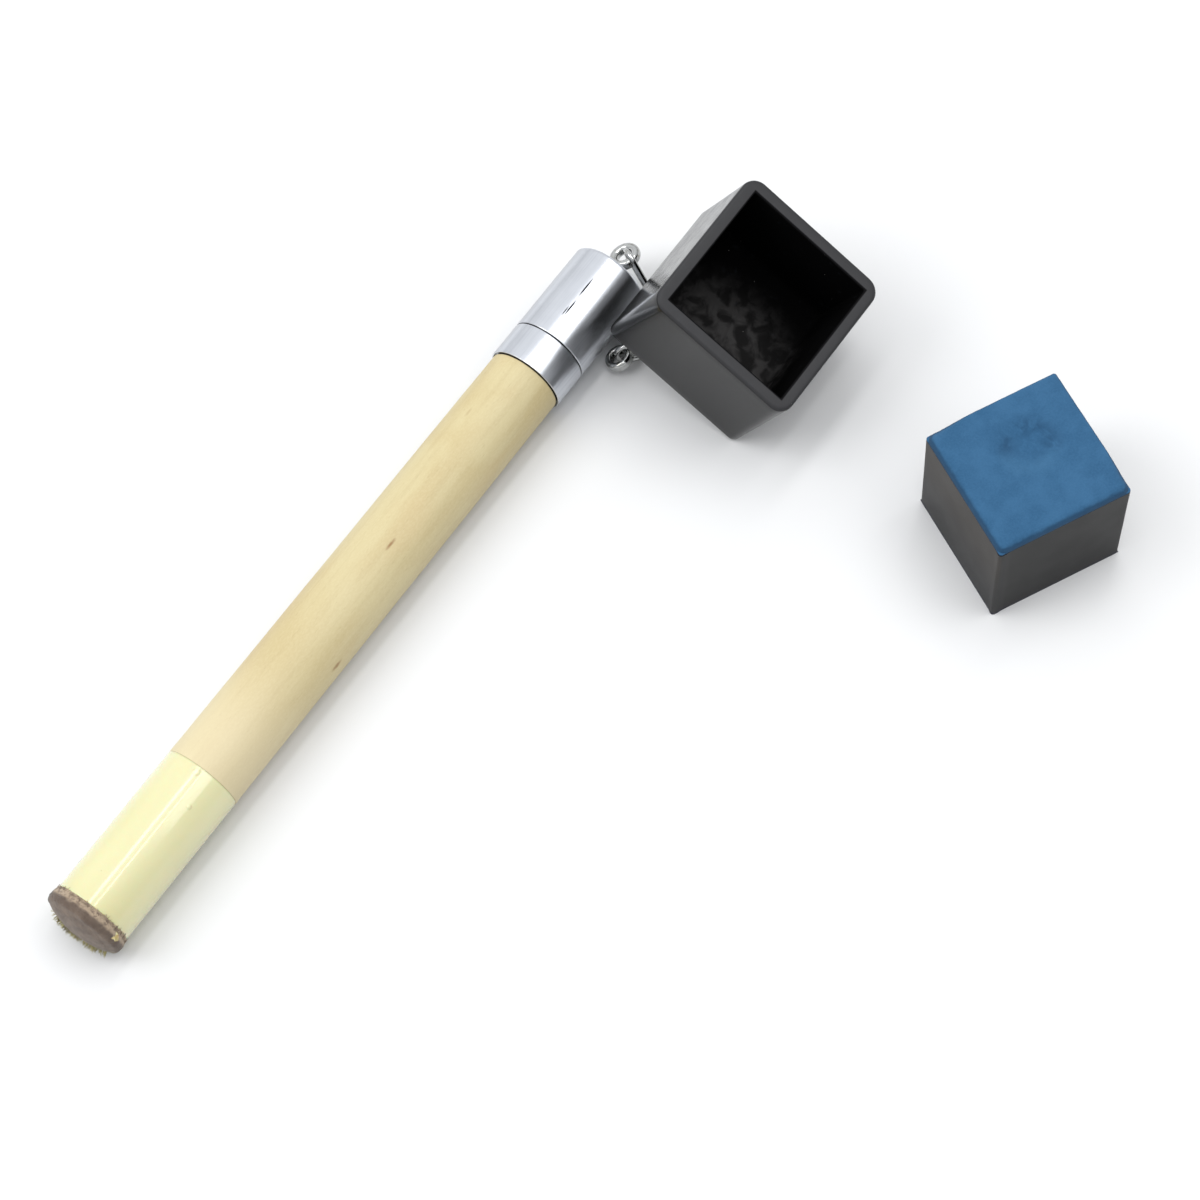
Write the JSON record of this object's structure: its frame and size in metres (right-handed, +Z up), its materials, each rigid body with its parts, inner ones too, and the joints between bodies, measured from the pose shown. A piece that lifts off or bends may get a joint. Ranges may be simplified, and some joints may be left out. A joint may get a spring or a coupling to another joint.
{
  "type": "pocket cue chalk holder with chalk cube",
  "caption": "Cue chalk cube with its pocket holder: cue-shaft handle with leather tip, magnetic cap, short swivel chain and square rubber cup.",
  "frame": {"origin": "centre of the chalk cube's base, on the table", "axes": "+X along the handle from leather tip to magnetic cap, +Y from the cube towards the handle, +Z up"},
  "size_m": [0.1495, 0.097, 0.031],
  "materials": {
    "chalk": "matte, dusty, slightly mottled",
    "label_paper": "satin coated paper, scuffed edges",
    "black_rubber": "smooth moulded, satin, dusty inside",
    "chrome": "polished",
    "plain_steel": "plain",
    "tip_leather": "rough, frayed at the rim",
    "ivory_plastic": "polished",
    "maple": "sealed satin, fine long grain",
    "turned_aluminium": "turned and polished",
    "magnet_nickel": "nickel plated"
  },
  "bodies": {
    "handle": {"wood_shaft": "maple", "leather_tip": "tip_leather", "ferrule": "ivory_plastic", "collar": "turned_aluminium", "keeper_disc": "plain_steel", "keeper_screw": "plain_steel"},
    "cap": {"cap": "turned_aluminium", "cap_magnet": "magnet_nickel"},
    "cap_eye": {"cap_eye": "chrome", "eye_washer": "plain_steel"},
    "link_1": {"link_1": "chrome"},
    "swivel_a": {"swivel_eye_a": "chrome"},
    "swivel_barrel": {"swivel_barrel": "chrome"},
    "swivel_b": {"swivel_eye_b": "chrome"},
    "link_2": {"link_2": "chrome"},
    "link_3": {"link_3": "chrome"},
    "cup": {"cup": "black_rubber", "cup_anchor": "plain_steel", "cup_eye": "chrome"},
    "chalk": {"chalk_block": "chalk", "side_label": "label_paper", "base_label": "label_paper"}
  },
  "joints": [
    {"name": "cap_release", "type": "slide", "parent": "handle", "child": "cap", "axis": [1, 0, 0], "range_m": [0, 0.03]},
    {"name": "cap_eye_spin", "type": "hinge", "parent": "cap", "child": "cap_eye", "pos_m": [0, 0.0752, 0.00642], "axis": [-1, 0, 0], "continuous": true},
    {"name": "link_1_swing", "type": "hinge", "parent": "cap_eye", "child": "link_1", "pos_m": [0.0019, 0.0738, 0.0073], "axis": [-1, 0, 0], "range_deg": [-3, 60]},
    {"name": "swivel_swing", "type": "hinge", "parent": "link_1", "child": "swivel_a", "pos_m": [0.00113, 0.07015, 0.00286], "axis": [-0.9471, 0.1894, 0.2592], "range_deg": [-12, 24]},
    {"name": "barrel_spin", "type": "hinge", "parent": "swivel_a", "child": "swivel_barrel", "pos_m": [0.0006, 0.0688, 0.0019], "axis": [-0.9877, -0.1564, 0], "continuous": true},
    {"name": "swivel_spin", "type": "hinge", "parent": "swivel_a", "child": "swivel_b", "pos_m": [0.0006, 0.0688, 0.0019], "axis": [0.9877, 0.1564, 0], "range_deg": [-12, 45]},
    {"name": "link_2_swing", "type": "hinge", "parent": "swivel_b", "child": "link_2", "pos_m": [-0.0097, 0.0663, 0.0023], "axis": [0.4506, 0.8211, -0.3505], "range_deg": [-30, 35]},
    {"name": "link_3_swing", "type": "hinge", "parent": "link_2", "child": "link_3", "pos_m": [-0.00465, 0.06145, 0.0017], "axis": [-0.3795, 0.1098, -0.9187], "range_deg": [-60, 20]},
    {"name": "cup_swing", "type": "hinge", "parent": "link_3", "child": "cup", "pos_m": [-0.0004, 0.059, 0.002], "axis": [0.3696, -0.02, -0.929], "range_deg": [-10, 45]},
    {"name": "chalk_lift", "type": "slide", "parent": "handle", "child": "chalk", "axis": [0, 0, 1], "range_m": [0, 0.04]}
  ]
}
